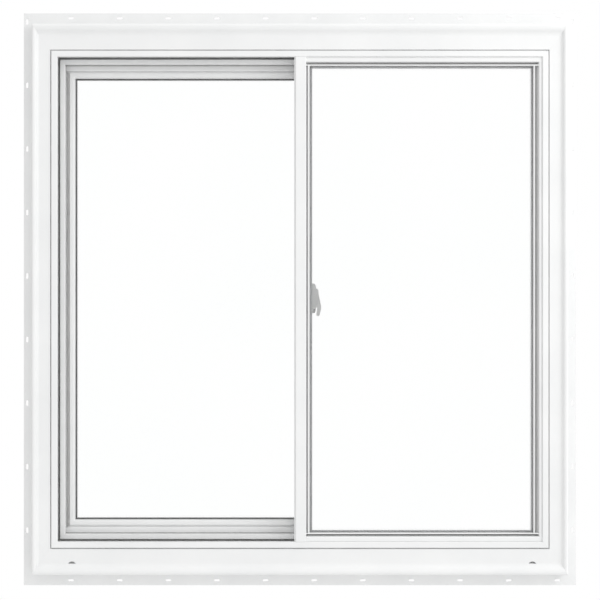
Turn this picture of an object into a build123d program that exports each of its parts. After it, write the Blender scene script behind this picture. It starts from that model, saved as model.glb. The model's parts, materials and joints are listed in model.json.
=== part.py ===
from build123d import *
import os

# A horizontal sliding window: a welded plastic frame with a nailing fin, one fixed lite and one
# sliding sash. Sizes are in millimetres. X runs to the right seen from outdoors, Y from outdoors to
# indoors, Z up. The origin is in the middle of the back face of the fin under the sill.
#
# Sections are drawn in two coordinates: the reach outwards from an edge, and the depth, which is
# measured indoors from the crest of the outer surround.

# Frame: overall sizes
BODY_WIDTH = 889.0
BODY_HEIGHT = 914.0
JAMB_FACE = 42.0
HEAD_FACE = 54.5

# Nailing fin and its slots
FIN_SIDE = 18.0
FIN_HEAD = 22.0
FIN_THICK = 2.0
FIN_BACK = 30.0
SLOT_LENGTH = 9.5
SLOT_WIDTH = 4.0
JAMB_SLOT_EDGE = 5.5
JAMB_SLOT_PITCH = 106.5
JAMB_SLOT_RISE = 39.0
HEAD_SLOT_EDGE = 8.0
HEAD_SLOT_PITCH = 81.5
HEAD_SLOT_SHIFT = 24.0

# Outer surround: rounded rim, ogee, flat, groove line and lip
RIM_DEPTH = 3.0
RIM_WIDTH = 3.0
OGEE_WIDTH = 12.2
FLAT_DEPTH = 6.0
GROOVE_DEPTH = 10.5
GROOVE_WIDTH = 2.0
LIP_DEPTH = 4.0
LIP_WIDTH = 10.0
LIP_THICK = 8.0
LIP_ROUND = 1.5
EDGE_ROUND = 0.8

# Outer pocket, back leg, sash track and inner leg
POCKET_REACH = 9.5
POCKET_WIDTH = 24.0
LEG_REACH = 8.5
LEG_THICK = 4.0
TRACK_REACH = 21.5
TRACK_WIDTH = 38.0
INNER_LEG_THICK = 4.0

# Stop strips on the legs round the sash's bay
STOP_WIDTH = 8.2
STOP_THICK = 10.0
STOP_OVERHANG = 0.7

# Weep slots at the foot of the sill's ogee
WEEP_LENGTH = 12.5
WEEP_HEIGHT = 3.8
WEEP_SINK = 8.0
WEEP_FROM_LEFT = 66.0
WEEP_FROM_RIGHT = 58.5
WEEP_FROM_BOTTOM = 18.0

# Meeting stile, fixed between head and sill
STILE_WIDTH = 20.0
STILE_SHIFT = 0.5
STILE_WEB_SET_IN = 1.5
STILE_LEDGE_WIDTH = 2.4
STILE_LEDGE_DEPTH = 4.0

# Glass units
PANE_THICK = 3.0
FIXED_AIR = 13.0
SASH_AIR = 10.0
FIXED_BITE = 6.0
EDGE_SEAL = 2.0
FIXED_SIGHT = 1.4
MEETING_SIGHT = 4.5
SASH_SIGHT = 1.2
SPACER_CLEAR = 0.2

# Glazing beads of the fixed lite
FIXED_BEAD_STEP = 3.0
LEVEL_BEAD_FACE = 8.4
LEVEL_BEAD_FLOOR = 3.4
JAMB_BEAD_FACE = 5.4
JAMB_BEAD_FLOOR = 6.4
MEETING_BEAD_FLOOR = 3.0
FIXED_BEAD_ROUND = 2.5
FIXED_BEAD_DRAFT = 0.5
FIXED_BEAD_SUNK = 8.5
FIXED_NOSE_WIDTH = 1.7
MEETING_NOSE_WIDTH = 2.5
FIXED_NOSE_RISE = 7.5
FIXED_BEAD_FOOT = 4.5

# Sash
RUN_GAP = 5.0
RAIL_OVERLAP = 6.0
TONGUE_CLEAR = 10.0
TONGUE_THICK = 12.0
SASH_LIP_THICK = 4.0
SASH_LIP_HOLD = 2.0
SASH_BACK_LEG = 5.0
SASH_REVEAL = 3.0
TOP_RAIL_FACE = 15.2
BOTTOM_RAIL_FACE = 16.0
PULL_REVEAL = 5.6
PULL_FACE = 5.4
LOCK_FACE = 13.5
LOCK_OVERLAP = 1.0
SASH_ROUND = 1.0

# Pull rib on the indoor face of the pull stile
RIB_FROM_NOSE = 4.0
RIB_THICK = 3.5
RIB_REACH = 10.0

# Glazing beads of the sash
SASH_BEAD_WIDTH = 9.0
SASH_BEAD_SUNK = 0.5
SASH_BEAD_BEVEL = 2.5
SASH_BEAD_CLEAR = 0.3

# Rollers and the track that they run on
TRACK_BASE_THICK = 2.0
TRACK_BASE_WIDTH = 30.0
TRACK_RIB_WIDTH = 4.0
TRACK_RIB_RISE = 3.0
TRACK_END_GAP = 0.5
ROLLER_RADIUS = 7.0
ROLLER_WIDTH = 4.0
ROLLER_CLEAR = 0.3
AXLE_RADIUS = 2.0
ROLLER_POCKET_LENGTH = 18.0
ROLLER_POCKET_WIDTH = 8.0
ROLLER_POCKET_HEIGHT = 12.0
ROLLER_FROM_END = 60.0

# Lock: base plate, housing and lever, measured from the lock stile's free edge and mid height
PLATE_WIDTH = 23.5
PLATE_OVERHANG = 7.5
PLATE_TOP = 27.2
PLATE_BOTTOM = 23.8
PLATE_THICK = 3.0
PLATE_ROUND = 6.0
HOUSING_WIDTH = 25.8
HOUSING_OVERHANG = 11.8
HOUSING_TOP = 18.5
HOUSING_BOTTOM = 8.0
HOUSING_RISE = 8.0
HOUSING_ROUND = 5.0
HOUSING_EDGE = 1.5
LEVER_PIVOT_SIDE = 1.0
LEVER_PIVOT_RISE = 6.0
LEVER_HUB_RADIUS = 11.5
LEVER_ELBOW = (12.2, -19.5)
LEVER_ELBOW_RADIUS = 3.6
LEVER_TIP = (10.0, -32.0)
LEVER_TIP_RADIUS = 3.0
LEVER_THICK = 5.0
LEVER_EDGE = 1.2
LEVER_CLEAR = 0.3

# Places worked out from the sizes above
CENTRE_Z = (BODY_HEIGHT + FIN_HEAD) / 2
HALF_W = BODY_WIDTH / 2 - JAMB_FACE
HALF_H = BODY_HEIGHT / 2 - HEAD_FACE
LIP_BACK = LIP_DEPTH + LIP_THICK
LEG_DEPTH = LIP_BACK + POCKET_WIDTH
TRACK_DEPTH = LEG_DEPTH + LEG_THICK
TRACK_MID = TRACK_DEPTH + TRACK_WIDTH / 2
INNER_LEG_DEPTH = TRACK_DEPTH + TRACK_WIDTH
FRAME_DEPTH = INNER_LEG_DEPTH + INNER_LEG_THICK
STILE_LEFT = STILE_SHIFT - STILE_WIDTH / 2
STILE_RIGHT = STILE_SHIFT + STILE_WIDTH / 2
FIXED_GLASS = LEG_DEPTH - FIXED_AIR - 2 * PANE_THICK
SASH_FRONT = TRACK_DEPTH + RUN_GAP
SASH_BACK = INNER_LEG_DEPTH - RUN_GAP
SASH_LIP_BACK = SASH_FRONT + SASH_LIP_THICK
SASH_GLASS_BACK = SASH_BACK - SASH_BACK_LEG
SASH_GLASS = SASH_GLASS_BACK - SASH_AIR - 2 * PANE_THICK

OUTDOORS_TO_INDOORS = (0, 1, 0)


def place(x, depth, z):
    """A point given by its depth and its height from the middle of the window."""
    return (x, depth - FIN_BACK, CENTRE_Z + z)


def elevation(depth):
    """A drawing plane that faces outdoors at a depth, with Z measured from the window's middle."""
    return Plane(origin=place(0, depth, 0), x_dir=(1, 0, 0), z_dir=(0, -1, 0))


def side_plane(side, edge):
    """A section plane: local x runs outwards from an edge on that side, local y is the depth."""
    views = {
        "head": ((0, 0, edge), (0, 0, 1), (-1, 0, 0)),
        "sill": ((0, 0, edge), (0, 0, -1), (1, 0, 0)),
        "left": ((edge, 0, 0), (-1, 0, 0), (0, 0, -1)),
        "right": ((edge, 0, 0), (1, 0, 0), (0, 0, 1)),
    }
    (x, _, z), outwards, along = views[side]
    return Plane(origin=place(x, 0, z), x_dir=outwards, z_dir=along)


def outline(*corners):
    """A closed section from corners (reach, depth) or (reach, depth, radius)."""
    points = [corner[:2] for corner in corners]
    radii = [corner[2] if len(corner) > 2 else 0 for corner in corners]
    return make_face(FilletPolyline(*points, radius=radii, close=True))


def member(side, edge, section, plan):
    """Run a section along one side and cut its ends to a plan drawn in elevation."""
    run = extrude(side_plane(side, edge) * section, amount=BODY_WIDTH + BODY_HEIGHT, both=True)
    ends = elevation(0) * make_face(Polyline(*plan, close=True))
    return run & extrude(ends, amount=-2 * FRAME_DEPTH, both=True)


def slab(left, right, bottom, top, front, back):
    """A plain block between two depths."""
    drawn = Pos((left + right) / 2, (bottom + top) / 2) * Rectangle(right - left, top - bottom)
    return extrude(elevation(front) * drawn, amount=back - front, dir=OUTDOORS_TO_INDOORS)


# Frame members
def frame_section(face, fin):
    """Surround, lip, pocket, leg, track and fin, with the surround stretched to the face's width."""
    stretch = (face - TRACK_REACH) / (JAMB_FACE - TRACK_REACH)
    crest = face - RIM_WIDTH * stretch
    foot = face - OGEE_WIDTH * stretch
    swing = ((crest + foot) / 2, FLAT_DEPTH / 2)
    inside = FilletPolyline(
        (foot, FLAT_DEPTH),
        (LIP_WIDTH + GROOVE_WIDTH, FLAT_DEPTH),
        (LIP_WIDTH + GROOVE_WIDTH, GROOVE_DEPTH),
        (LIP_WIDTH, GROOVE_DEPTH),
        (LIP_WIDTH, LIP_DEPTH),
        (0, LIP_DEPTH),
        (0, LIP_BACK),
        (POCKET_REACH, LIP_BACK),
        (POCKET_REACH, LEG_DEPTH),
        (-LEG_REACH, LEG_DEPTH),
        (-LEG_REACH, TRACK_DEPTH),
        (TRACK_REACH, TRACK_DEPTH),
        (TRACK_REACH, INNER_LEG_DEPTH),
        (0, INNER_LEG_DEPTH),
        (0, FRAME_DEPTH),
        (face, FRAME_DEPTH),
        (face, FIN_BACK),
        (face + fin, FIN_BACK),
        (face + fin, FIN_BACK - FIN_THICK),
        (face, FIN_BACK - FIN_THICK),
        (face, RIM_DEPTH),
        radius=[
            0, 0, 0, EDGE_ROUND, LIP_ROUND, 0, 0, 0, EDGE_ROUND, EDGE_ROUND,
            0, 0, 0, LIP_ROUND, 0, 0, 0, 0, 0,
        ],
    )
    rim = TangentArc((crest, 0), (face, RIM_DEPTH), tangent=(1, 0))
    hollow = TangentArc((foot, FLAT_DEPTH), swing, tangent=(1, 0))
    swell = TangentArc((crest, 0), swing, tangent=(-1, 0))
    return make_face(inside.edges() + rim.edges() + swell.edges() + hollow.edges())


def frame_corner(right, up):
    """The line that parts a jamb from the head or sill: square mitre, then skew to the corners."""
    steps = [
        (-LEG_REACH, -LEG_REACH),
        (TRACK_REACH, TRACK_REACH),
        (JAMB_FACE, HEAD_FACE),
        (JAMB_FACE + FIN_SIDE, HEAD_FACE + FIN_HEAD),
    ]
    return [(right * (HALF_W + x), up * (HALF_H + z)) for x, z in steps]


def between(first, second):
    """A closed plan from two corner lines."""
    return first + second[::-1]


def slot_row(start, pitch, end):
    """Places along a fin from a first slot both ways, as far as whole slots fit."""
    room = end - SLOT_LENGTH / 2
    steps = range(-int((room + start) // pitch), int((room - start) // pitch) + 1)
    return [start + step * pitch for step in steps]


def fin_slots(places, turn):
    """Round-ended nail slots through the fin at places (x, z) from the window's middle."""
    depth = FIN_BACK - FIN_THICK
    slot = SlotOverall(SLOT_LENGTH, SLOT_WIDTH, rotation=turn)
    drawn = [elevation(depth) * Pos(x, z) * slot for x, z in places]
    return [extrude(one, amount=FIN_THICK, dir=OUTDOORS_TO_INDOORS) for one in drawn]


head_slot_z = BODY_HEIGHT / 2 + FIN_HEAD - HEAD_SLOT_EDGE
head_slot_xs = slot_row(HEAD_SLOT_SHIFT, HEAD_SLOT_PITCH, BODY_WIDTH / 2)
jamb_slot_x = BODY_WIDTH / 2 + FIN_SIDE - JAMB_SLOT_EDGE
jamb_slot_end = BODY_HEIGHT / 2 + FIN_HEAD * (1 - JAMB_SLOT_EDGE / FIN_SIDE)
jamb_slot_zs = slot_row(JAMB_SLOT_RISE, JAMB_SLOT_PITCH, jamb_slot_end)


def weep_slots():
    """Drain slots cut into the face of the sill: a flat foot under an arched top."""
    half = WEEP_LENGTH / 2
    foot = Line((-half, 0), (half, 0))
    arch = ThreePointArc((half, 0), (0, WEEP_HEIGHT), (-half, 0))
    slot = make_face(foot.edges() + arch.edges())
    xs = (WEEP_FROM_LEFT - BODY_WIDTH / 2, BODY_WIDTH / 2 - WEEP_FROM_RIGHT)
    drawn = [elevation(0) * Pos(x, WEEP_FROM_BOTTOM - BODY_HEIGHT / 2) * slot for x in xs]
    return [extrude(one, amount=FLAT_DEPTH + WEEP_SINK, dir=OUTDOORS_TO_INDOORS) for one in drawn]


def frame_members():
    jamb_section = frame_section(JAMB_FACE, FIN_SIDE)
    head_section = frame_section(HEAD_FACE, FIN_HEAD)
    head = member("head", HALF_H, head_section, between(frame_corner(-1, 1), frame_corner(1, 1)))
    sill = member("sill", -HALF_H, head_section, between(frame_corner(-1, -1), frame_corner(1, -1)))
    left = member("left", -HALF_W, jamb_section, between(frame_corner(-1, -1), frame_corner(-1, 1)))
    right = member("right", HALF_W, jamb_section, between(frame_corner(1, -1), frame_corner(1, 1)))
    return {
        "frame_head": head - fin_slots([(x, head_slot_z) for x in head_slot_xs], 0),
        "frame_sill": sill - fin_slots([(x, -head_slot_z) for x in head_slot_xs], 0) - weep_slots(),
        "frame_left_jamb": left - fin_slots([(-jamb_slot_x, z) for z in jamb_slot_zs], 90),
        "frame_right_jamb": right - fin_slots([(jamb_slot_x, z) for z in jamb_slot_zs], 90),
    }


def meeting_stile():
    """Face flush with the lips and a ledge beside it, web in the pockets, leg behind the fixed glass."""
    width = STILE_RIGHT - STILE_LEFT
    face_section = outline(
        (0, LIP_DEPTH + STILE_LEDGE_DEPTH, EDGE_ROUND),
        (STILE_LEDGE_WIDTH, LIP_DEPTH + STILE_LEDGE_DEPTH),
        (STILE_LEDGE_WIDTH, LIP_DEPTH, EDGE_ROUND),
        (width, LIP_DEPTH, LIP_ROUND),
        (width, LIP_BACK),
        (0, LIP_BACK),
    )
    plan = [(STILE_LEFT, HALF_H), (STILE_RIGHT, HALF_H), (STILE_RIGHT, -HALF_H), (STILE_LEFT, -HALF_H)]
    face = member("right", STILE_LEFT, face_section, plan)
    web_left = STILE_LEFT + STILE_WEB_SET_IN
    web_right = STILE_RIGHT - POCKET_REACH
    web_top = HALF_H + POCKET_REACH
    web = slab(web_left, web_right, -web_top, web_top, LIP_BACK, LEG_DEPTH)
    leg_top = HALF_H - LEG_REACH
    leg = slab(web_left, STILE_RIGHT + LEG_REACH, -leg_top, leg_top, LEG_DEPTH, TRACK_DEPTH)
    return face + web + leg


def stop_strips():
    """Strips on the legs round the sash's bay, mitred at the jamb and square at the meeting stile."""
    front = LEG_DEPTH - STOP_THICK
    inside = LEG_REACH + STOP_OVERHANG
    outside = inside - STOP_WIDTH
    section = outline(
        (-inside, front, EDGE_ROUND),
        (-outside, front, EDGE_ROUND),
        (-outside, LEG_DEPTH),
        (-inside, LEG_DEPTH),
    )
    stile = STILE_LEFT + STILE_WEB_SET_IN

    def mitre(up):
        return [(reach - HALF_W, up * (HALF_H - reach)) for reach in (inside, outside)]

    def square(up):
        return [(stile, up * (HALF_H - reach)) for reach in (inside, outside)]

    return {
        "head_stop_strip": member("head", HALF_H, section, between(mitre(1), square(1))),
        "sill_stop_strip": member("sill", -HALF_H, section, between(mitre(-1), square(-1))),
        "jamb_stop_strip": member("left", -HALF_W, section, between(mitre(-1), mitre(1))),
    }


# Fixed lite: each bead's face, floor and nose widths; the meeting stile's bead has no face
LEVEL_BEAD = (LEVEL_BEAD_FACE, LEVEL_BEAD_FLOOR, FIXED_NOSE_WIDTH)
JAMB_BEAD = (JAMB_BEAD_FACE, JAMB_BEAD_FLOOR, FIXED_NOSE_WIDTH)
MEETING_BEAD = (0, MEETING_BEAD_FLOOR, MEETING_NOSE_WIDTH)


def fixed_bead_section(face, floor, nose_width):
    """Foot behind the lip, a face beside it, a sunk floor and a thin nose on the glass."""
    floor_depth = LIP_DEPTH + FIXED_BEAD_STEP + FIXED_BEAD_SUNK
    wall = face + FIXED_BEAD_DRAFT if face else 0
    nose = fixed_bead_reach(face, floor, nose_width)
    nose_side = nose - nose_width
    corners = [
        (-nose_side, floor_depth),
        (-nose_side, floor_depth - FIXED_NOSE_RISE),
        (-nose, floor_depth - FIXED_NOSE_RISE),
        (-nose, FIXED_GLASS),
        (FIXED_BEAD_FOOT, FIXED_GLASS),
        (FIXED_BEAD_FOOT, LIP_BACK),
        (0, LIP_BACK),
    ]
    if face:
        face_depth = LIP_DEPTH + FIXED_BEAD_STEP
        corners += [(0, face_depth, EDGE_ROUND), (-face, face_depth, FIXED_BEAD_ROUND)]
    return outline(*corners, (-wall, floor_depth))


def fixed_bead_reach(face, floor, nose_width):
    """How far a bead reaches from the edge of the opening to its nose."""
    wall = face + FIXED_BEAD_DRAFT if face else 0
    return wall + floor + nose_width


def fixed_beads():
    """Level beads run from lip to lip; the upright ones are coped over them, offcuts left out."""
    level_section = fixed_bead_section(*LEVEL_BEAD)
    jamb_section = fixed_bead_section(*JAMB_BEAD)
    meeting_section = fixed_bead_section(*MEETING_BEAD)
    right = HALF_W + FIXED_BEAD_FOOT
    left = STILE_RIGHT - FIXED_BEAD_FOOT
    outside = HALF_H + FIXED_BEAD_FOOT
    level = [(STILE_RIGHT, -outside), (HALF_W, -outside), (HALF_W, outside), (STILE_RIGHT, outside)]
    upright = [(left, -HALF_H), (right, -HALF_H), (right, HALF_H), (left, HALF_H)]
    head = member("head", HALF_H, level_section, level)
    sill = member("sill", -HALF_H, level_section, level)
    jamb = member("right", HALF_W, jamb_section, upright) - head - sill
    meeting = member("left", STILE_RIGHT, meeting_section, upright) - head - sill
    return {
        "fixed_head_bead": head,
        "fixed_sill_bead": sill,
        "fixed_jamb_bead": jamb.solids().sort_by(SortBy.VOLUME)[-1],
        "fixed_meeting_bead": meeting.solids().sort_by(SortBy.VOLUME)[-1],
    }


def glass_unit(name, edges, sights, front, air):
    """Two panes and the spacer frame between them; edges and sights are (left, right, bottom, top)."""
    spacer_front = front + PANE_THICK
    spacer_back = spacer_front + air
    left, right, bottom, top = edges
    seal = (left + EDGE_SEAL, right - EDGE_SEAL, bottom + EDGE_SEAL, top - EDGE_SEAL)
    depths = (spacer_front + SPACER_CLEAR, spacer_back - SPACER_CLEAR)
    spacer = slab(*seal, *depths) - slab(*sights, *depths)
    return {
        name + "_outer_pane": slab(*edges, front, spacer_front),
        name + "_spacer": spacer,
        name + "_inner_pane": slab(*edges, spacer_back, spacer_back + PANE_THICK),
    }


def fixed_glass():
    level = HALF_H - fixed_bead_reach(*LEVEL_BEAD) - FIXED_SIGHT
    jamb = HALF_W - fixed_bead_reach(*JAMB_BEAD) - FIXED_SIGHT
    meeting = STILE_RIGHT + fixed_bead_reach(*MEETING_BEAD) + MEETING_SIGHT
    edges = (STILE_RIGHT - FIXED_BITE, HALF_W + FIXED_BITE, -HALF_H - FIXED_BITE, HALF_H + FIXED_BITE)
    sights = (meeting, jamb, -level, level)
    return glass_unit("fixed", edges, sights, FIXED_GLASS, FIXED_AIR)


# Sash: each side's reveal, face and tongue, counted outwards from the bead's nose
sash_edge = STILE_RIGHT + LEG_REACH + LOCK_OVERLAP
rail_edge = HALF_H - LEG_REACH + RAIL_OVERLAP
tongue_top = HALF_H + TRACK_REACH - TONGUE_CLEAR
tongue_side = HALF_W + TRACK_REACH - TONGUE_CLEAR
pull_nose = LEG_REACH + PULL_REVEAL + SASH_BEAD_WIDTH - HALF_W
pull_body = SASH_BEAD_WIDTH + PULL_REVEAL + PULL_FACE
SASH_SIDES = {
    "head": (SASH_REVEAL, TOP_RAIL_FACE, tongue_top - rail_edge),
    "sill": (SASH_REVEAL, BOTTOM_RAIL_FACE, tongue_top - rail_edge),
    "left": (PULL_REVEAL, PULL_FACE, tongue_side + pull_nose - pull_body),
    "right": (SASH_REVEAL, LOCK_FACE, 0),
}
SASH_NOSES = {
    "head": rail_edge - TOP_RAIL_FACE - SASH_REVEAL - SASH_BEAD_WIDTH,
    "sill": BOTTOM_RAIL_FACE + SASH_REVEAL + SASH_BEAD_WIDTH - rail_edge,
    "left": pull_nose,
    "right": sash_edge - LOCK_FACE - SASH_REVEAL - SASH_BEAD_WIDTH,
}
SASH_NODES = {"head": "top", "sill": "bottom", "left": "pull", "right": "lock"}


def sash_reaches(side):
    """Reaches of the lip, the body's outer edge and the tongue's end from the nose."""
    reveal, face, tongue = SASH_SIDES[side]
    lip = SASH_BEAD_WIDTH + reveal
    return lip, lip + face, lip + face + tongue


def sash_section(side):
    """Glazing pocket open to the front, a body between the legs and a tongue in the track."""
    lip, body, end = sash_reaches(side)
    pocket = lip + SASH_LIP_HOLD
    tongue_front = TRACK_MID - TONGUE_THICK / 2
    tongue_back = TRACK_MID + TONGUE_THICK / 2
    tongue = [
        (body, tongue_front),
        (end, tongue_front, SASH_ROUND),
        (end, tongue_back, SASH_ROUND),
        (body, tongue_back),
    ]
    rib = [
        (RIB_FROM_NOSE + RIB_THICK, SASH_BACK),
        (RIB_FROM_NOSE + RIB_THICK, SASH_BACK + RIB_REACH, SASH_ROUND),
        (RIB_FROM_NOSE, SASH_BACK + RIB_REACH, SASH_ROUND),
        (RIB_FROM_NOSE, SASH_BACK),
    ]
    return outline(
        (lip, SASH_FRONT, EDGE_ROUND),
        (body, SASH_FRONT, SASH_ROUND),
        *(tongue if end > body else []),
        (body, SASH_BACK, SASH_ROUND),
        *(rib if side == "left" else []),
        (0, SASH_BACK, SASH_ROUND),
        (0, SASH_GLASS_BACK),
        (pocket, SASH_GLASS_BACK),
        (pocket, SASH_LIP_BACK),
        (lip, SASH_LIP_BACK),
    )


def sash_bead_section(side):
    """A bevelled bead on the glass with a foot that tucks behind the sash's lip."""
    lip, _, _ = sash_reaches(side)
    foot = lip + SASH_LIP_HOLD - SASH_BEAD_CLEAR
    face = SASH_FRONT + SASH_BEAD_SUNK
    return outline(
        (0, SASH_GLASS),
        (0, face + SASH_BEAD_BEVEL, EDGE_ROUND),
        (SASH_BEAD_BEVEL, face, SASH_ROUND),
        (SASH_BEAD_WIDTH, face, EDGE_ROUND),
        (SASH_BEAD_WIDTH, SASH_LIP_BACK),
        (foot, SASH_LIP_BACK),
        (foot, SASH_GLASS),
    )


def sash_point(upright, rail, reach_x, reach_z):
    """A point at a reach outwards from the corner of the sash's daylight opening."""
    out = {"head": 1, "sill": -1, "left": -1, "right": 1}
    x = SASH_NOSES[upright] + out[upright] * reach_x
    return (x, SASH_NOSES[rail] + out[rail] * reach_z)


def sash_corner(upright, rail):
    """The line that parts a stile from a rail."""
    reaches = zip(sash_reaches(upright), sash_reaches(rail))
    return [sash_point(upright, rail, 0, 0)] + [sash_point(upright, rail, x, z) for x, z in reaches]


def sash_bead_corner(upright, rail):
    """The mitre between two sash beads."""
    feet = [sash_reaches(side)[0] + SASH_LIP_HOLD - SASH_BEAD_CLEAR for side in (upright, rail)]
    steps = [(0, 0), (SASH_BEAD_WIDTH, SASH_BEAD_WIDTH), feet]
    return [sash_point(upright, rail, x, z) for x, z in steps]


def sash_ring(section, corner):
    """One piece for each side of the sash from a section and a corner line."""
    ring = {}
    for rail in ("head", "sill"):
        plan = between(corner("left", rail), corner("right", rail))
        ring[rail] = member(rail, SASH_NOSES[rail], section(rail), plan)
    for upright in ("left", "right"):
        plan = between(corner(upright, "sill"), corner(upright, "head"))
        ring[upright] = member(upright, SASH_NOSES[upright], section(upright), plan)
    return ring


# Rollers hang in pockets of the bottom rail and stand on the rib of the roller track
roller_xs = (-tongue_side + ROLLER_FROM_END, sash_edge - ROLLER_FROM_END)
track_floor = -HALF_H - TRACK_REACH
rib_top = track_floor + TRACK_BASE_THICK + TRACK_RIB_RISE
roller_z = rib_top + ROLLER_CLEAR + ROLLER_RADIUS


def roller_pocket(x):
    half = ROLLER_POCKET_LENGTH / 2
    front = TRACK_MID - ROLLER_POCKET_WIDTH / 2
    return slab(
        x - half, x + half, -tongue_top, ROLLER_POCKET_HEIGHT - tongue_top,
        front, front + ROLLER_POCKET_WIDTH,
    )


def roller(x):
    """A wheel on an axle that bears on both walls of its pocket."""
    centre = elevation(TRACK_MID) * Pos(x, roller_z)
    wheel = centre * Cylinder(ROLLER_RADIUS, ROLLER_WIDTH)
    return wheel + centre * Cylinder(AXLE_RADIUS, ROLLER_POCKET_WIDTH)


def roller_track():
    end = HALF_W + TRACK_REACH - TRACK_END_GAP
    base_top = track_floor + TRACK_BASE_THICK
    half_base = TRACK_BASE_WIDTH / 2
    half_rib = TRACK_RIB_WIDTH / 2
    base = slab(-end, end, track_floor, base_top, TRACK_MID - half_base, TRACK_MID + half_base)
    rib = slab(-end, end, base_top, rib_top, TRACK_MID - half_rib, TRACK_MID + half_rib)
    return base + rib


def sash():
    members = sash_ring(sash_section, sash_corner)
    beads = sash_ring(sash_bead_section, sash_bead_corner)
    members["sill"] -= [roller_pocket(x) for x in roller_xs]
    kinds = {"head": "rail", "sill": "rail", "left": "stile", "right": "stile"}
    nodes = {f"sash_{SASH_NODES[side]}_{kinds[side]}": members[side] for side in members}
    nodes |= {f"sash_{SASH_NODES[side]}_bead": beads[side] for side in beads}
    lips = {side: sash_reaches(side)[0] for side in SASH_SIDES}
    edges = (
        SASH_NOSES["left"] - lips["left"], SASH_NOSES["right"] + lips["right"],
        SASH_NOSES["sill"] - lips["sill"], SASH_NOSES["head"] + lips["head"],
    )
    sights = (
        SASH_NOSES["left"] + SASH_SIGHT, SASH_NOSES["right"] - SASH_SIGHT,
        SASH_NOSES["sill"] + SASH_SIGHT, SASH_NOSES["head"] - SASH_SIGHT,
    )
    nodes |= glass_unit("sash", edges, sights, SASH_GLASS, SASH_AIR)
    nodes["left_roller"], nodes["right_roller"] = [roller(x) for x in roller_xs]
    return nodes


# Lock on the indoor face of the lock stile
def rounded_block(left, right, bottom, top, front, thick, corner, edge):
    """A plate with rounded corners whose indoor edges are eased."""
    shape = RectangleRounded(right - left, top - bottom, corner)
    drawn = Pos((left + right) / 2, (bottom + top) / 2) * shape
    block = extrude(elevation(front) * drawn, amount=thick, dir=OUTDOORS_TO_INDOORS)
    return chamfer(block.faces().sort_by(Axis.Y)[-1].edges(), edge)


housing_front = SASH_BACK + PLATE_THICK
lever_front = housing_front + HOUSING_RISE + LEVER_CLEAR


def lock_body():
    plate_right = sash_edge + PLATE_OVERHANG
    plate = rounded_block(
        plate_right - PLATE_WIDTH, plate_right, -PLATE_BOTTOM, PLATE_TOP,
        SASH_BACK, PLATE_THICK, PLATE_ROUND, EDGE_ROUND,
    )
    housing_right = sash_edge + HOUSING_OVERHANG
    housing = rounded_block(
        housing_right - HOUSING_WIDTH, housing_right, -HOUSING_BOTTOM, HOUSING_TOP,
        housing_front, HOUSING_RISE, HOUSING_ROUND, HOUSING_EDGE,
    )
    return plate + housing


def lock_lever():
    """A thumb lever: a round hub, an elbow that swings out past the housing, and a tip."""
    hub = Circle(LEVER_HUB_RADIUS)
    elbow = Pos(*LEVER_ELBOW) * Circle(LEVER_ELBOW_RADIUS)
    tip = Pos(*LEVER_TIP) * Circle(LEVER_TIP_RADIUS)
    drawn = make_hull(hub.edges() + elbow.edges()) + make_hull(elbow.edges() + tip.edges())
    pivot = Pos(sash_edge + LEVER_PIVOT_SIDE, LEVER_PIVOT_RISE)
    lever = extrude(elevation(lever_front) * pivot * drawn, amount=LEVER_THICK, dir=OUTDOORS_TO_INDOORS)
    return chamfer(lever.faces().sort_by(Axis.Y)[-1].edges(), LEVER_EDGE)


nodes = frame_members()
nodes["meeting_stile"] = meeting_stile()
nodes |= stop_strips()
nodes |= fixed_beads()
nodes |= fixed_glass()
nodes |= sash()
nodes["roller_track"] = roller_track()
nodes["lock_body"] = lock_body()
nodes["lock_lever"] = lock_lever()

os.makedirs("parts", exist_ok=True)
for name, solid in nodes.items():
    export_step(solid, f"parts/{name}.step")
    box = solid.bounding_box()
    print(name, "volume", round(solid.volume), "from", box.min, "to", box.max)
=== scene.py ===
# %% [markdown]
# A white vinyl sliding window
#
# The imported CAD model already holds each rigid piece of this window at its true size: the welded frame with
# its nailing fin, the fixed lite, and the sash that slides behind it. It could all be modelled again here,
# but then two models would have to agree. So the script loads that model as a fixed frame, and adds only
# what CAD leaves out: finishes, spacer holes, brush seals, glazing seals, weld seams, small fittings on the
# lock, light and a camera. Lengths are in metres.

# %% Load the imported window
import json
import math

import bmesh
import bpy
import numpy as np
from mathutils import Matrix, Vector


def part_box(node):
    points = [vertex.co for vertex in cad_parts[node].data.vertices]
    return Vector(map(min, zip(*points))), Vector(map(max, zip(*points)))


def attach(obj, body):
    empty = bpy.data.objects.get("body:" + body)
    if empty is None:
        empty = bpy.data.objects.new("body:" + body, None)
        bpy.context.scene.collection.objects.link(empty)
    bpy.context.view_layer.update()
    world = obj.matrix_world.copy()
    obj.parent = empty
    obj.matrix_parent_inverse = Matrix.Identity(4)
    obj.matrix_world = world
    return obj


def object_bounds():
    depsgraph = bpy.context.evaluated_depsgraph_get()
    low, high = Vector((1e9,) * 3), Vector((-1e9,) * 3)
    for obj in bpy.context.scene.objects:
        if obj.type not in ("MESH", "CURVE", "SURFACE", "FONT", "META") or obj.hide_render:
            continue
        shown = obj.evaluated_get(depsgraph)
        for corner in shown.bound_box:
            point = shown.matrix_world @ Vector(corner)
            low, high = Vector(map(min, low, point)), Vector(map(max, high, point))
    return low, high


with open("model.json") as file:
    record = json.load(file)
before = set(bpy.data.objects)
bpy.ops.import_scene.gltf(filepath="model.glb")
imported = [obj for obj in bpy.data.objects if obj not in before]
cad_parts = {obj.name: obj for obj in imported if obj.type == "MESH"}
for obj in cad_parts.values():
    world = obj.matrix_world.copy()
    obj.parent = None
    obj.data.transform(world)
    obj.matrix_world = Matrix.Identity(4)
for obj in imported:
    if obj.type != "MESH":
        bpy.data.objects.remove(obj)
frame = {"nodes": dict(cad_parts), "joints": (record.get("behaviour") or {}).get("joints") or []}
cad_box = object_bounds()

scene = bpy.context.scene
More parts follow.
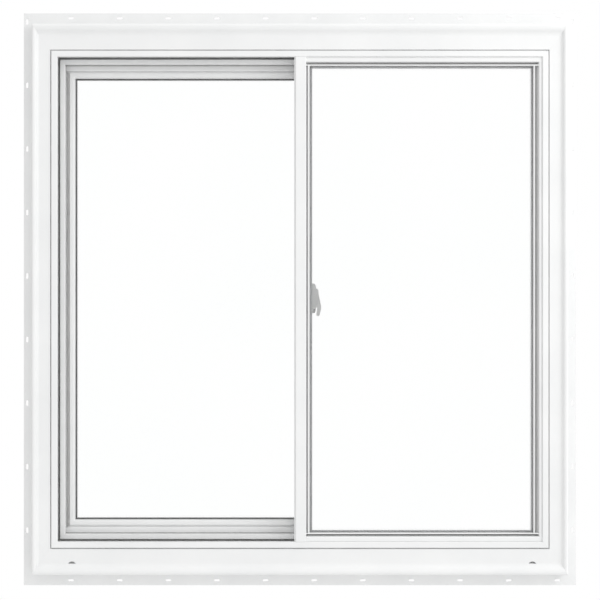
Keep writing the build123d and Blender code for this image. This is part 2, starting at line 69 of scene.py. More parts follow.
nodes = frame["nodes"]

# %% [markdown]
# Where the camera stands
#
# The photograph looks squarely at the outdoor face, from a little over two metres, so both jambs show a
# sliver of their inner sides. A long lens far away would lose those slivers. The lens is worked out from
# the distance and the width of wall that the picture takes in, so it needs no trial and error.

# %% Camera
CAMERA_DISTANCE = 2.40
PICTURE_WIDTH = 0.9936
PICTURE_MIDDLE_X, PICTURE_MIDDLE_Z = 0.00017, 0.4668
SENSOR_MM = 36.0
LOOK_LEVEL = math.radians(90)

crest_y = cad_box[0][1]
camera_data = bpy.data.cameras.new("photo_camera")
camera_data.sensor_width = SENSOR_MM
camera_data.lens = SENSOR_MM * CAMERA_DISTANCE / PICTURE_WIDTH
camera = bpy.data.objects.new("photo_camera", camera_data)
camera.location = (PICTURE_MIDDLE_X, crest_y - CAMERA_DISTANCE, PICTURE_MIDDLE_Z)
camera.rotation_euler = (LOOK_LEVEL, 0, 0)
scene.collection.objects.link(camera)
scene.camera = camera
print("lens", round(camera_data.lens, 2), "mm")


# %% [markdown]
# One helper for every node tree
#
# Materials, the world and Geometry Nodes are all trees of nodes. Each could be wired by hand in many lines.
# This helper makes one node, and for each input takes either a plain value or another node's output, so a
# tree below reads as a list of its nodes in order.

# %% Node helper
def add(tree, kind, inputs=None, **settings):
    """A new node; inputs maps a socket's name or number to a value or to an output to link."""
    node = tree.nodes.new(kind)
    for name, value in settings.items():
        setattr(node, name, value)
    for name, value in (inputs or {}).items():
        if isinstance(value, bpy.types.NodeSocket):
            tree.links.new(value, node.inputs[name])
        else:
            node.inputs[name].default_value = value
    return node


print("node trees can be written")

# %% [markdown]
# Light and background
#
# The photograph is a catalogue shot: white behind, and soft light from the upper right, so the left and
# lower fins lie in the surround's own shade. A bright backdrop could give the white, but it would also
# flood the vinyl. Here the world shows plain white only to the camera, in reflections and through the
# glass, and lights the vinyl with a sky that grows brighter towards the upper right. One weak square lamp
# on that side firms up the shade.

# %% World
SKY_LOW, SKY_HIGH = 0.65, 1.27
SKY_TOWARDS = Vector((0.70, 0.0, 0.71)).normalized()
BACKDROP_STRENGTH = 1.0
WHITE = (1.0, 1.0, 1.0, 1.0)

world = bpy.data.worlds.new("studio")
world.use_nodes = True
scene.world = world
scene.view_settings.view_transform = "Standard"
sky = world.node_tree
sky.nodes.clear()
ray = add(sky, "ShaderNodeLightPath").outputs
seen = add(sky, "ShaderNodeMath", {0: ray["Is Camera Ray"], 1: ray["Is Glossy Ray"]}, operation="MAXIMUM")
seen = add(sky, "ShaderNodeMath", {
    0: seen.outputs[0], 1: ray["Is Transmission Ray"]}, operation="MAXIMUM")
way = add(sky, "ShaderNodeTexCoord").outputs["Generated"]
turned = add(sky, "ShaderNodeVectorMath", {0: way, 1: SKY_TOWARDS}, operation="DOT_PRODUCT")
level = add(sky, "ShaderNodeMapRange", {
    "Value": turned.outputs["Value"], "From Min": -1.0, "To Min": SKY_LOW, "To Max": SKY_HIGH})
lit = add(sky, "ShaderNodeBackground", {"Color": WHITE, "Strength": level.outputs["Result"]})
plain = add(sky, "ShaderNodeBackground", {"Color": WHITE, "Strength": BACKDROP_STRENGTH})
both = add(sky, "ShaderNodeMixShader", {0: seen.outputs[0], 1: lit.outputs[0], 2: plain.outputs[0]})
add(sky, "ShaderNodeOutputWorld", {"Surface": both.outputs[0]})
print("sky from", SKY_LOW, "to", SKY_HIGH)

# %% Key lamp
KEY_PLACE = Vector((1.4, -0.9, 1.2))
KEY_WIDTH = 0.8
KEY_WATTS = 7.0

middle_z = (cad_box[0][2] + cad_box[1][2]) / 2
key_data = bpy.data.lights.new("key_lamp", "AREA")
key_data.size = KEY_WIDTH
key_data.energy = KEY_WATTS
key_lamp = bpy.data.objects.new("key_lamp", key_data)
key_lamp.location = KEY_PLACE
key_lamp.rotation_euler = (Vector((0, 0, middle_z)) - KEY_PLACE).to_track_quat("-Z", "Y").to_euler()
scene.collection.objects.link(key_lamp)
print("key lamp of", KEY_WATTS, "watts from the upper right")

# %% [markdown]
# The floor
#
# A window is held by a wall, so this one hangs at sill height above a plain pale floor. The floor could
# touch the frame, but then its far half would show through the glass, which in the photograph is pure
# white.

# %% Floor
FLOOR_DROP = 0.9
FLOOR_HALF = 2.6
FLOOR_TONE = (0.85, 0.85, 0.85, 1.0)
FLOOR_ROUGHNESS = 0.9


def new_material(name):
    """A material with its tree and its shader."""
    material = bpy.data.materials.new(name)
    material.use_nodes = True
    return material, material.node_tree, material.node_tree.nodes["Principled BSDF"]


floor_signs = [(-1, -1), (1, -1), (1, 1), (-1, 1)]
floor_corners = [(x * FLOOR_HALF, y * FLOOR_HALF, -FLOOR_DROP) for x, y in floor_signs]
floor_mesh = bpy.data.meshes.new("floor")
floor_mesh.from_pydata(floor_corners, [], [(0, 1, 2, 3)])
floor_paint, _, floor_shader = new_material("floor_paint")
floor_shader.inputs["Base Color"].default_value = FLOOR_TONE
floor_shader.inputs["Roughness"].default_value = FLOOR_ROUGHNESS
floor_mesh.materials.append(floor_paint)
floor = bpy.data.objects.new("floor", floor_mesh)
scene.collection.objects.link(floor)
print("floor", FLOOR_DROP, "m below the origin, which is under the sill")

# %% [markdown]
# White vinyl
#
# The frame and the sash are extruded vinyl: satin, very slightly mottled, with faint lines along each
# length where the compound left the die. A flat white would look like paper. Noise that is stretched along
# the piece gives the die lines, so level and upright members need one material each, turned to their
# length.

# %% Tone, gloss and relief
TONE_ENDS = (0.3, 0.7)
finishes = {}


def noise(tree, place, scale, detail=2.0):
    """A cloudy factor from 0 to 1."""
    cloud = add(tree, "ShaderNodeTexNoise", {"Vector": place, "Scale": scale, "Detail": detail})
    return cloud.outputs["Fac"]


def between_tones(tree, factor, low, high):
    """A colour that goes from one tone to another as the factor rises."""
    ramp = add(tree, "ShaderNodeValToRGB", {"Fac": factor})
    for stop, position, tone in zip(ramp.color_ramp.elements, TONE_ENDS, (low, high)):
        stop.position = position
        stop.color = (*tone, 1.0)
    return ramp.outputs["Color"]


def paint(tree, shader, factor, low, high, roughness, spread):
    """Lets a shader's tone and roughness follow one factor."""
    tree.links.new(between_tones(tree, factor, low, high), shader.inputs["Base Color"])
    rough = add(tree, "ShaderNodeMapRange", {
        "Value": factor, "To Min": roughness - spread, "To Max": roughness + spread})
    tree.links.new(rough.outputs["Result"], shader.inputs["Roughness"])


def emboss(tree, shader, factor, strength, rise):
    """Gives a shader a fine relief that follows one factor."""
    relief = add(tree, "ShaderNodeBump", {"Height": factor, "Strength": strength, "Distance": rise})
    tree.links.new(relief.outputs["Normal"], shader.inputs["Normal"])


print("finishes can be written")

# %% Vinyl finish
MOTTLE_SCALE, MOTTLE_DETAIL = 14.0, 4.0
DIE_LINE_SCALE, DIE_LINE_STRETCH = 900.0, 0.012
DIE_LINE_STRENGTH, DIE_LINE_RISE = 0.12, 0.0003
ALONG_X = (DIE_LINE_STRETCH, 1.0, 1.0)
ALONG_Z = (1.0, 1.0, DIE_LINE_STRETCH)
VINYL_SPECULAR = 0.45
VINYL_SPREAD = 0.05
VINYL = {"low": (0.800, 0.806, 0.806), "high": (0.835, 0.839, 0.837), "roughness": 0.42}
BEAD = {"low": (0.810, 0.815, 0.815), "high": (0.845, 0.848, 0.846), "roughness": 0.36}


def vinyl(name, along, low, high, roughness):
    """Satin extruded vinyl with a faint mottle and die lines along the piece."""
    finishes[name], tree, shader = new_material(name)
    place = add(tree, "ShaderNodeTexCoord").outputs["Object"]
    mottle = noise(tree, place, MOTTLE_SCALE, MOTTLE_DETAIL)
    paint(tree, shader, mottle, low, high, roughness, VINYL_SPREAD)
    run = add(tree, "ShaderNodeMapping", {"Vector": place, "Scale": along}).outputs["Vector"]
    emboss(tree, shader, noise(tree, run, DIE_LINE_SCALE), DIE_LINE_STRENGTH, DIE_LINE_RISE)
    shader.inputs["Specular IOR Level"].default_value = VINYL_SPECULAR


vinyl("vinyl_level", ALONG_X, **VINYL)
vinyl("vinyl_upright", ALONG_Z, **VINYL)
vinyl("bead_level", ALONG_X, **BEAD)
vinyl("bead_upright", ALONG_Z, **BEAD)
print("vinyl finishes", sorted(finishes))


# %% Dress the vinyl pieces
def dress(finish, *names):
    """Gives CAD nodes a finish in place of the plain one they came with."""
    for name in names:
        nodes[name].data.materials.clear()
        nodes[name].data.materials.append(finishes[finish])
    print(finish, "on", ", ".join(names))


dress("vinyl_level", "frame_head", "frame_sill", "sash_top_rail", "sash_bottom_rail")
dress("vinyl_level", "head_stop_strip", "sill_stop_strip")
dress("vinyl_upright", "frame_left_jamb", "frame_right_jamb", "meeting_stile")
dress("vinyl_upright", "sash_pull_stile", "sash_lock_stile", "jamb_stop_strip")
dress("bead_level", "fixed_head_bead", "fixed_sill_bead", "sash_top_bead", "sash_bottom_bead")
dress("bead_upright", "fixed_jamb_bead", "fixed_meeting_bead", "sash_pull_bead", "sash_lock_bead")

# %% [markdown]
# Clear glass
#
# Each lite is two panes with air between. One thick block would be simpler, but it would bend the view and
# lose the doubled edge lines. Both panes are closed solids in the CAD model, so a fully transmitting shader
# with glass's own index is right, with the faint green that thin float glass has.

# %% Glass
PANE_TINT_SCALE = 3.0
FAINT_GREEN, CLEAR = (0.994, 0.999, 0.997), (1.0, 1.0, 1.0)
GLASS_INDEX = 1.5

finishes["clear_glass"], glass_tree, glass_shader = new_material("clear_glass")
sheet = add(glass_tree, "ShaderNodeTexCoord").outputs["Object"]
tint = between_tones(glass_tree, noise(glass_tree, sheet, PANE_TINT_SCALE), FAINT_GREEN, CLEAR)
glass_tree.links.new(tint, glass_shader.inputs["Base Color"])
glass_shader.inputs["Roughness"].default_value = 0.0
glass_shader.inputs["IOR"].default_value = GLASS_INDEX
glass_shader.inputs["Transmission Weight"].default_value = 1.0
dress("clear_glass", "fixed_outer_pane", "fixed_inner_pane", "sash_outer_pane", "sash_inner_pane")

# %% [markdown]
# Spacer, track, rollers and lock
#
# The small parts have their own finishes: dull spacers between the panes, a drawn aluminium track, nylon
# rollers and a lock in white paint. One shared grey would do from afar, but seen from indoors they sit side
# by side. The two spacers are one grey metal in two tones: the fixed lite's is painted lighter, as painted
# light, and the sash's darker, as painted shade, so each has its own tone.

# %% Small finishes
GRAIN_DETAIL = 3.0
GRAIN_STRENGTH, GRAIN_RISE = 0.15, 0.0002
GRAIN_SPREAD = 0.06
EVEN = (1.0, 1.0, 1.0)


def speckled(name, low, high, roughness, grain, metal=0.0, run=EVEN):
    """A finish whose tone, gloss and relief follow one grain, which may be stretched along an axis."""
    finishes[name], tree, shader = new_material(name)
    place = add(tree, "ShaderNodeTexCoord").outputs["Object"]
    stretched = add(tree, "ShaderNodeMapping", {"Vector": place, "Scale": run}).outputs["Vector"]
    fleck = noise(tree, stretched, grain, GRAIN_DETAIL)
    paint(tree, shader, fleck, low, high, roughness, GRAIN_SPREAD)
    emboss(tree, shader, fleck, GRAIN_STRENGTH, GRAIN_RISE)
    shader.inputs["Metallic"].default_value = metal


# Painted light and shade: the fixed lite's spacer is set pale and the sash's dark, one metal in two tones.
speckled("fixed_spacer_painted_light", (0.56, 0.57, 0.58), (0.64, 0.65, 0.66), roughness=0.45, grain=300.0)
speckled("sash_spacer_painted_shade", (0.10, 0.103, 0.106), (0.14, 0.143, 0.146), roughness=0.6, grain=300.0)
speckled("drawn_aluminium", (0.70, 0.71, 0.72), (0.82, 0.83, 0.84),
         roughness=0.35, grain=700.0, metal=1.0, run=ALONG_X)
speckled("roller_nylon", (0.80, 0.80, 0.77), (0.86, 0.86, 0.83), roughness=0.5, grain=500.0)
# Partly painted light: the lock's white paint is set lighter than the vinyl, for light that the panes in
# front of it hold back.
speckled("lock_paint", (0.86, 0.86, 0.855), (0.91, 0.91, 0.905), roughness=0.34, grain=800.0)
dress("fixed_spacer_painted_light", "fixed_spacer")
dress("sash_spacer_painted_shade", "sash_spacer")
dress("drawn_aluminium", "roller_track")
dress("roller_nylon", "left_roller", "right_roller")
dress("lock_paint", "lock_body", "lock_lever")

# %% [markdown]
# A way to grow pieces along paths
#
# Holes, brushes and seams repeat hundreds of times or follow a line. A loop could place them one at a time,
# but Geometry Nodes keeps each kind as one small recipe: a path goes in with named measures, and a mesh
# comes out. The outcome is kept as a plain mesh, so nothing is left that has to run again.

# %% Paths
OUTDOORS, INDOORS = (0.0, -1.0, 0.0), (0.0, 1.0, 0.0)


def path_mesh(name, runs):
    """A mesh of separate lines; each run is a list of points and the way that things on it face."""
    points, edges, facing = [], [], []
    for line, way in runs:
        edges += [(len(points) + step, len(points) + step + 1) for step in range(len(line) - 1)]
        points += line
        facing += list(way) * len(line)
    mesh = bpy.data.meshes.new(name)
    mesh.from_pydata(points, edges, [])
    mesh.attributes.new("facing", "FLOAT_VECTOR", "POINT").data.foreach_set("vector", facing)
    return mesh


def grow(name, mesh, tree, body, slot, **measures):
    """Runs a recipe on a path and keeps what it makes as a plain mesh that rides on a body."""
    piece = bpy.data.objects.new(name, mesh)
    scene.collection.objects.link(piece)
    modifier = piece.modifiers.new(name, "NODES")
    modifier.node_group = tree
    sockets = {item.name: item.identifier for item in tree.interface.items_tree}
    for measure, value in measures.items():
        modifier[sockets[measure]] = value
    graph = bpy.context.evaluated_depsgraph_get()
    made = bpy.data.meshes.new_from_object(piece.evaluated_get(graph))
    piece.modifiers.remove(modifier)
    piece.data = made
    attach(piece, body)
    places = np.array([vertex.co for vertex in made.vertices])
    low, high = places.min(axis=0).round(4), places.max(axis=0).round(4)
    print(name, len(made.polygons), "faces from", low, "to", high)


print("pieces can be grown")


# %% Recipe helpers
def recipe(name, **measures):
    """A Geometry Nodes group that takes a path and named measures; gives its tree and their sockets."""
    tree = bpy.data.node_groups.new(name, "GeometryNodeTree")
    tree.interface.new_socket("Path", in_out="INPUT", socket_type="NodeSocketGeometry")
    for measure, kind in measures.items():
        tree.interface.new_socket(measure, in_out="INPUT", socket_type="NodeSocket" + kind)
    tree.interface.new_socket("Made", in_out="OUTPUT", socket_type="NodeSocketGeometry")
    return tree, add(tree, "NodeGroupInput").outputs


def line_of(tree, path):
    """A path's lines as curves."""
    return add(tree, "GeometryNodeMeshToCurve", {"Mesh": path}).outputs["Curve"]


def spots_along(tree, line, pitch):
    """Points at even steps along each line."""
    spots = add(tree, "GeometryNodeCurveToPoints", {"Curve": line, "Length": pitch}, mode="LENGTH")
    return spots.outputs["Points"]


def facing_turn(tree):
    """The turn that stands an instance up along the path's facing."""
    way = add(tree, "GeometryNodeInputNamedAttribute", {"Name": "facing"}, data_type="FLOAT_VECTOR")
    turn = add(tree, "FunctionNodeAlignRotationToVector", {"Vector": way.outputs["Attribute"]}, axis="Z")
    return turn.outputs["Rotation"]


def set_on(tree, spots, shape, **turn):
    """One copy of a shape on each spot, turned if a Rotation is given."""
    inputs = {"Points": spots, "Instance": shape.outputs["Mesh"], **turn}
    return add(tree, "GeometryNodeInstanceOnPoints", inputs).outputs["Instances"]


def sweep(tree, line, outline):
    """A closed bar: an outline drawn along each line."""
    bar = add(tree, "GeometryNodeCurveToMesh", {
        "Curve": line, "Profile Curve": outline.outputs["Curve"], "Fill Caps": True})
    return bar.outputs["Mesh"]


def close_recipe(tree, made, finish):
    """Ends a recipe: instances become faces and take their finish."""
    real = add(tree, "GeometryNodeRealizeInstances", {"Geometry": made}).outputs["Geometry"]
    painted = add(tree, "GeometryNodeSetMaterial", {"Geometry": real, "Material": finishes[finish]})
    add(tree, "NodeGroupOutput", {0: painted.outputs["Geometry"]})


print("recipes can be written")

# %% [markdown]
# Holes in the spacers
#
# The metal spacer between two panes is filled with drying beads, and a row of fine holes along its inner
# face lets them reach the trapped air. They show as a dotted line along the foot of the fixed lite. They
# could be cut into the spacer, but at little over a millimetre a plug in its face, painted near-black as
# painted shade of a hole, looks the same.

# %% Spacer holes
HOLE_PITCH = 0.0058
HOLE_RADIUS = 0.0006
HOLE_DEPTH = 0.0002
HOLE_SIDES = 8
CORNER_DIGITS = 5

# Painted shade: this near-black stands in for the shade inside the holes, and the screw tips below take it
# too.
speckled("hole_painted_shade", (0.05, 0.05, 0.05), (0.09, 0.09, 0.09), roughness=0.7, grain=900.0)


def hole_recipe():
    """Plugs painted near-black, as painted shade of a hole, at even steps along a spacer's faces."""
    tree, measure = recipe("spacer_holes", Pitch="Float", Radius="Float", Depth="Float")
    spots = spots_along(tree, line_of(tree, measure["Path"]), measure["Pitch"])
    plug = add(tree, "GeometryNodeMeshCylinder", {
        "Vertices": HOLE_SIDES, "Radius": measure["Radius"], "Depth": measure["Depth"]})
    close_recipe(tree, set_on(tree, spots, plug, Rotation=facing_turn(tree)), "hole_painted_shade")
    return tree


def spacer_runs(name):
    """Lines along the middle of a spacer's four inner faces, read from its CAD mesh."""
    corners = [nodes[name].matrix_world @ vertex.co for vertex in nodes[name].data.vertices]
    xs, ys, zs = [sorted({round(corner[axis], CORNER_DIGITS) for corner in corners}) for axis in range(3)]
    left, right, bottom, top = xs[1], xs[-2], zs[1], zs[-2]
    y = (ys[0] + ys[-1]) / 2
    return [
        ([(left, y, bottom), (right, y, bottom)], (0.0, 0.0, 1.0)),
        ([(left, y, top), (right, y, top)], (0.0, 0.0, -1.0)),
        ([(left, y, bottom), (left, y, top)], (1.0, 0.0, 0.0)),
        ([(right, y, bottom), (right, y, top)], (-1.0, 0.0, 0.0)),
    ]


holes = hole_recipe()
for body, spacer in (("frame", "fixed_spacer"), ("sash", "sash_spacer")):
    path = path_mesh(spacer + "_holes", spacer_runs(spacer))
    grow(spacer + "_holes", path, holes, body, "grey_spacer",
         Pitch=HOLE_PITCH, Radius=HOLE_RADIUS, Depth=HOLE_DEPTH)

# %% [markdown]
# Brush seals
#
# A sliding sash cannot be gasketed tight, so wool pile closes its gaps: short tufts on a woven back. The
# strips on the rails and the lock stile are what such sashes have. The strips in the channel behind the lip
# and beside the pull stile's bead are painted shade: pile in tones set to give the dark band and the grey
# band that shade makes there. They are read as pile too, which is a guess, because deep shade could look
# the same. A plain bar would do from afar, but leaning tufts break up the light as pile does. Rows lie
# about one woven back apart, and are placed from the solids beside them.

# %% Brush recipe
TUFT_PITCH = 0.0013
TUFT_RADIUS, TUFT_TIP, TUFT_SIDES = 0.0006, 0.0003, 4
TUFT_LEAN, TUFT_SPIN = 0.12, 3.0
BACK_WIDTH = 0.0014
BRUSH_SEED = 7
PILE = {"roughness": 0.9, "grain": 1500.0}

# Painted shade: the channel and pull piles are toned to paint the shade behind the lip and beside the pull
# stile's bead.
speckled("channel_pile_painted_shade", (0.73, 0.73, 0.725), (0.83, 0.83, 0.825), **PILE)
speckled("rail_pile", (0.40, 0.40, 0.395), (0.50, 0.50, 0.495), **PILE)
speckled("pull_pile_painted_shade", (0.82, 0.82, 0.815), (0.90, 0.90, 0.895), **PILE)


def brush_recipe(name, pile):
    """Rows of tufts that lean and turn at random, on a square woven back."""
    tree, measure = recipe(
        name, Pitch="Float", Radius="Float", Tip="Float", Rise="Float", Back="Float", Seed="Int")
    line = line_of(tree, measure["Path"])
    tuft = add(tree, "GeometryNodeMeshCone", {
        "Vertices": TUFT_SIDES, "Radius Top": measure["Tip"], "Radius Bottom": measure["Radius"],
        "Depth": measure["Rise"]})
    lean = add(tree, "FunctionNodeRandomValue", {
        0: (-TUFT_LEAN, -TUFT_LEAN, 0.0), 1: (TUFT_LEAN, TUFT_LEAN, TUFT_SPIN),
        "Seed": measure["Seed"]}, data_type="FLOAT_VECTOR")
    lean = add(tree, "FunctionNodeEulerToRotation", {"Euler": lean.outputs["Value"]})
    stand = add(tree, "FunctionNodeRotateRotation", {
        "Rotation": facing_turn(tree), "Rotate By": lean.outputs["Rotation"]}, rotation_space="LOCAL")
    spots = spots_along(tree, line, measure["Pitch"])
    tufts = set_on(tree, spots, tuft, Rotation=stand.outputs["Rotation"])
    square = add(tree, "GeometryNodeCurvePrimitiveQuadrilateral", {
        "Width": measure["Back"], "Height": measure["Back"]})
    strip = add(tree, "GeometryNodeJoinGeometry")
    tree.links.new(tufts, strip.inputs["Geometry"])
    tree.links.new(sweep(tree, line, square), strip.inputs["Geometry"])
    close_recipe(tree, strip.outputs["Geometry"], pile)
    return tree


def lay_brush(name, pile, body, slot, rise, runs):
    """Brush strips along some lines; their tufts and woven backs are all of one kind."""
    path = path_mesh(name, [(run, OUTDOORS) for run in runs])
    grow(name, path, brush_recipe(name, pile), body, slot, Pitch=TUFT_PITCH, Radius=TUFT_RADIUS,
         Tip=TUFT_TIP, Rise=rise, Back=BACK_WIDTH, Seed=BRUSH_SEED)


print("brushes can be laid, a tuft every", TUFT_PITCH, "m")

# %% Channel brush
CHANNEL_RISE = 0.0070
CHANNEL_ROWS = 4
STRIP_GAP = 0.0004
BAY_END_GAP = 0.0008

strip_low, strip_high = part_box("jamb_stop_strip")
channel_foot = strip_high.y - BACK_WIDTH / 2
channel_reach = STRIP_GAP + BACK_WIDTH / 2 - strip_low.x
bay_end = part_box("head_stop_strip")[1].x - BAY_END_GAP


def bay_run(reach):
    """A line along the head, the left jamb and the sill at a reach from the window's middle."""
    top, bottom = middle_z + reach, middle_z - reach
    corners = [(bay_end, top), (-reach, top), (-reach, bottom), (bay_end, bottom)]
    return [(x, channel_foot, z) for x, z in corners]


lay_brush("channel_brush", "channel_pile_painted_shade", "frame", "white_vinyl", CHANNEL_RISE,
          [bay_run(channel_reach + BACK_WIDTH * row) for row in range(CHANNEL_ROWS)])

# %% Rail brush
RAIL_RISE = 0.0040
RAIL_ROWS, LOCK_ROWS = 2, 3
BACK_SINK = 0.0002
RAIL_ROW_IN = 0.0002
RAIL_TUCK = 0.0005
LOCK_ROW_IN = 0.0065
LOCK_ROW_SHORT = 0.0020

sash_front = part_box("sash_top_rail")[0].y
leg_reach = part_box("frame_right_jamb")[0].x
stile_left, stile_right = [corner.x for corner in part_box("meeting_stile")]
rail_foot = sash_front - BACK_WIDTH / 2 + BACK_SINK
rail_ends = (-leg_reach - RAIL_TUCK, stile_left + RAIL_TUCK)
rail_runs = []
for row in range(RAIL_ROWS):
    reach = leg_reach - RAIL_ROW_IN + BACK_WIDTH * row
    for z in (middle_z + reach, middle_z - reach):
        rail_runs.append([(x, rail_foot, z) for x in rail_ends])
lock_ends = (middle_z - leg_reach + LOCK_ROW_SHORT, middle_z + leg_reach - LOCK_ROW_SHORT)
for row in range(LOCK_ROWS):
    x = stile_right - LOCK_ROW_IN + BACK_WIDTH * row
    rail_runs.append([(x, rail_foot, z) for z in lock_ends])
lay_brush("rail_brush", "rail_pile", "sash", "grey_spacer", RAIL_RISE, rail_runs)

# %% Pull brush
PULL_RISE = 0.0038
PULL_SINK = 0.0033
PULL_FROM_EDGE = (0.0064, 0.0050, 0.0036, 0.0023)
PULL_SHORT = 0.0022

bead_low, bead_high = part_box("sash_pull_bead")
pull_foot = sash_front + PULL_SINK
pull_ends = (bead_low.z + PULL_SHORT, bead_high.z - PULL_SHORT)
lay_brush("pull_brush", "pull_pile_painted_shade", "sash", "white_vinyl", PULL_RISE,
          [[(bead_low.x + offset, pull_foot, z) for z in pull_ends] for offset in PULL_FROM_EDGE])

# %% [markdown]
# Glazing seals
#
# A dark line lies in the sunk floor of the fixed lite's beads, fine along the head and the sill and broader
# and paler on the jamb. It is the soft seal that such beads press on to the glass, in black rubber that also
# paints the floor's shade, and on the jamb the same rubber is painted paler for the lighter shade there. It
# is read here as the soft seal that such beads press on to the glass, though part of it may be shade. It
# could be a CAD solid, but it is soft and under three millimetres thick, so a round is swept along each
# line, and three side by side make the flap on the jamb.

# %% Seal recipe
RUBBER = {"roughness": 0.75, "grain": 700.0}
ROUND_SIDES = 6

# Painted shade and light: the level seals' black also paints the floor's shade, and the flap is the same
# rubber painted paler for the jamb.
speckled("seal_rubber_and_painted_shade", (0.07, 0.07, 0.07), (0.11, 0.11, 0.11), **RUBBER)
speckled("flap_rubber_painted_paler", (0.46, 0.46, 0.46), (0.54, 0.54, 0.54), **RUBBER)


def round_recipe(name, finish):
    """A thin round swept along each line of the path."""
    tree, measure = recipe(name, Radius="Float")
    ring = add(tree, "GeometryNodeCurvePrimitiveCircle", {
        "Resolution": ROUND_SIDES, "Radius": measure["Radius"]})
    close_recipe(tree, sweep(tree, line_of(tree, measure["Path"]), ring), finish)
    return tree


print("rounds can be swept, with", ROUND_SIDES, "sides")

# %% Glazing seals
SEAL_RADIUS, FLAP_RADIUS = 0.0012, 0.0009
SEAL_OFF_GLASS = 0.0015
SEAL_FROM_EDGE = 0.0031
SEAL_START, SEAL_END = 0.0005, 0.0077
FLAP_LINES, FLAP_PITCH = 3, 0.0016
FLAP_OVERRUN = 0.0020

seal_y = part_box("fixed_outer_pane")[0].y - SEAL_OFF_GLASS
jamb_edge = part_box("fixed_jamb_bead")[0].x
head_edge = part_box("fixed_head_bead")[0].z
sill_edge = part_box("fixed_sill_bead")[1].z
seal_xs = (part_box("fixed_head_bead")[0].x + SEAL_START, jamb_edge + SEAL_END)
seal_zs = (head_edge + SEAL_FROM_EDGE, sill_edge - SEAL_FROM_EDGE)
flap_xs = [jamb_edge + SEAL_FROM_EDGE + FLAP_PITCH * line for line in range(FLAP_LINES)]
flap_zs = (sill_edge - FLAP_OVERRUN, head_edge + FLAP_OVERRUN)
path = path_mesh("level_seals", [([(x, seal_y, z) for x in seal_xs], OUTDOORS) for z in seal_zs])
seal = round_recipe("level_seals", "seal_rubber_and_painted_shade")
grow("level_seals", path, seal, "frame", "grey_spacer", Radius=SEAL_RADIUS)
path = path_mesh("jamb_flap", [([(x, seal_y, z) for z in flap_zs], OUTDOORS) for x in flap_xs])
flap = round_recipe("jamb_flap", "flap_rubber_painted_paler")
grow("jamb_flap", path, flap, "frame", "grey_spacer", Radius=FLAP_RADIUS)

# %% [markdown]
# Weld seams
#
# Vinyl frames are mitred, melted at the cut and pressed together, and the squeezed-out bead is pared away.
# A hair line stays at each corner. It could be drawn in the material, but it follows the moulding up and
# down. So the edges of the mitre faces are read from the CAD meshes and a hair-thin round is run along
# them. On the sash's rails no other face is skew. The ends of the fin's slots are, so on the frame an edge
# also has to show and to lie on the mitre's line, which bends because the head's face is wider than the
# jamb's.

# %% Mitre lines
FIN_SIDE, FIN_HEAD = 0.018, 0.022
TRACK_BEHIND_LEG = 0.030
FIN_FRONT_Y = -0.0019
INDOOR_LEG_Y = 0.040
MITRE_SLACK = 0.00003

half_width, half_height = cad_box[1][0], cad_box[1][2] - middle_z
track_reach = leg_reach + TRACK_BEHIND_LEG
mitre_across = (leg_reach, track_reach, half_width - FIN_SIDE, half_width)
mitre_up = (leg_reach, track_reach, half_height - FIN_HEAD, half_height)


def on_frame_corner(point):
    """Whether a point shows and lies on a line that parts a jamb from the head or the sill."""
    shows = point.y < FIN_FRONT_Y or point.y > INDOOR_LEG_Y
    across = np.interp(abs(point.z - middle_z), mitre_up, mitre_across)
    return shows and abs(abs(point.x) - across) < MITRE_SLACK


print("mitre lines bend at", np.round(mitre_across, 4), "across and", np.round(mitre_up, 4), "up")

# %% Weld seams
SEAM_RADIUS = 0.00014
MERGE_WITHIN = 0.000005
SQUARE_LIMIT, SKEW_LIMIT = 0.01, 0.1


def is_mitre(face):
    """Whether a face stands square to the window's plane and skew to its sides."""
    across, depth, up = [abs(part) for part in face.normal]
    return depth < SQUARE_LIMIT and min(across, up) > SKEW_LIMIT


def seam_runs(names, belongs):
    """The edges round the mitre faces of some members, where both their ends belong."""
    runs = []
    for name in names:
        work = bmesh.new()
        work.from_mesh(nodes[name].data)
        work.transform(nodes[name].matrix_world)
        bmesh.ops.remove_doubles(work, verts=work.verts, dist=MERGE_WITHIN)
        for edge in work.edges:
            ends = [vertex.co.copy() for vertex in edge.verts]
            if sum(is_mitre(face) for face in edge.link_faces) == 1 and all(belongs(end) for end in ends):
                runs.append(([tuple(end) for end in ends], OUTDOORS))
        work.free()
    return runs


seams = round_recipe("weld_seams", "vinyl_upright")
frame_seams = seam_runs(("frame_head", "frame_sill"), on_frame_corner)
sash_seams = seam_runs(("sash_top_rail", "sash_bottom_rail"), lambda point: True)
for body, runs in (("frame", frame_seams), ("sash", sash_seams)):
    path = path_mesh(body + "_weld_seams", runs)
    grow(body + "_weld_seams", path, seams, body, "white_vinyl", Radius=SEAM_RADIUS)

# %% [markdown]
# Lock screws, pivot and grip
#
# The lock's plate is held to the stile by two pan-head screws, its lever turns on a riveted pin, and ribs
# near the lever's tip stop a thumb from slipping. Each could be a CAD solid, but they are small, fixed and
# repeat, so one recipe sets heads on points and another sets ribs along a line. From outdoors the
# photograph shows two dark spots low on the plate, which are read as the tips of screws.

# %% Screw heads and pin
HEAD_SIDES = 20
PLATE_THICK = 0.003
SCREW_X, SCREW_ZS = 0.0122, (0.4475, 0.4918)
SCREW_HEAD = {"Radius": 0.0026, "Crown": 0.0016, "Rise": 0.0013}
PIN_HEAD = {"Radius": 0.0034, "Crown": 0.0016, "Rise": 0.0008}

speckled("plated_steel", (0.55, 0.55, 0.56), (0.66, 0.66, 0.67), roughness=0.32, grain=1200.0, metal=1.0)


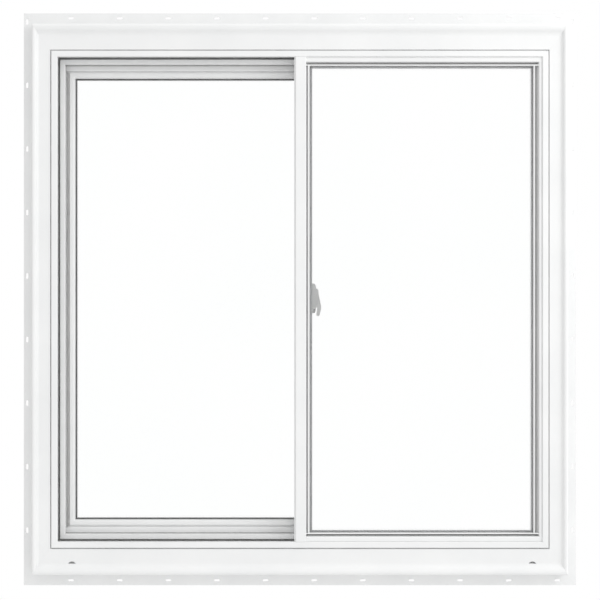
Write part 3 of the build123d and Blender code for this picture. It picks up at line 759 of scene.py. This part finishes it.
def head_recipe(name, finish):
    """Low tapered rounds, set on points to face the way that each point faces."""
    tree, measure = recipe(name, Radius="Float", Crown="Float", Rise="Float")
    spots = add(tree, "GeometryNodeMeshToPoints", {"Mesh": measure["Path"]}).outputs["Points"]
    head = add(tree, "GeometryNodeMeshCone", {
        "Vertices": HEAD_SIDES, "Radius Top": measure["Crown"], "Radius Bottom": measure["Radius"],
        "Depth": measure["Rise"]})
    close_recipe(tree, set_on(tree, spots, head, Rotation=facing_turn(tree)), finish)
    return tree


lock_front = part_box("lock_body")[0].y
lever_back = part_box("lock_lever")[1].y
pivot_x, _, pivot_z = next(joint["pos_m"] for joint in frame["joints"] if joint["name"] == "lock_turn")
heads = head_recipe("round_heads", "plated_steel")
path = path_mesh("lock_screws", [([(SCREW_X, lock_front + PLATE_THICK, z)], INDOORS) for z in SCREW_ZS])
grow("lock_screws", path, heads, "sash", "lock_paint", **SCREW_HEAD)
path = path_mesh("lever_pin", [([(pivot_x, lever_back, pivot_z)], INDOORS)])
grow("lever_pin", path, heads, "lever", "lock_paint", **PIN_HEAD)

# %% Screw tips on the outdoor side
TIP_X, TIP_ZS = 0.0243, (0.4462, 0.4500)
SCREW_TIP = {"Radius": 0.0012, "Crown": 0.0007, "Rise": 0.0006}

# Painted shade: the steel screw tips take the holes' near-black because they lie in shade.
tips = head_recipe("screw_tips", "hole_painted_shade")
path = path_mesh("lock_screw_tips", [([(TIP_X, lock_front, z)], OUTDOORS) for z in TIP_ZS])
grow("lock_screw_tips", path, tips, "sash", "lock_paint", **SCREW_TIP)

# %% Grip ribs
RIB_PITCH = 0.0018
RIB_SIZE = (0.0034, 0.0014, 0.0008)
GRIP_ENDS = ((0.0310, 0.4430), (0.0328, 0.4530))


def rib_recipe():
    """Small bars at even steps along a line."""
    tree, measure = recipe("grip_ribs", Pitch="Float", Size="Vector")
    spots = spots_along(tree, line_of(tree, measure["Path"]), measure["Pitch"])
    bar = add(tree, "GeometryNodeMeshCube", {"Size": measure["Size"]})
    close_recipe(tree, set_on(tree, spots, bar), "lock_paint")
    return tree


path = path_mesh("lever_grip", [([(x, lever_back, z) for x, z in GRIP_ENDS], INDOORS)])
grow("lever_grip", path, rib_recipe(), "lever", "lock_paint", Pitch=RIB_PITCH, Size=RIB_SIZE)
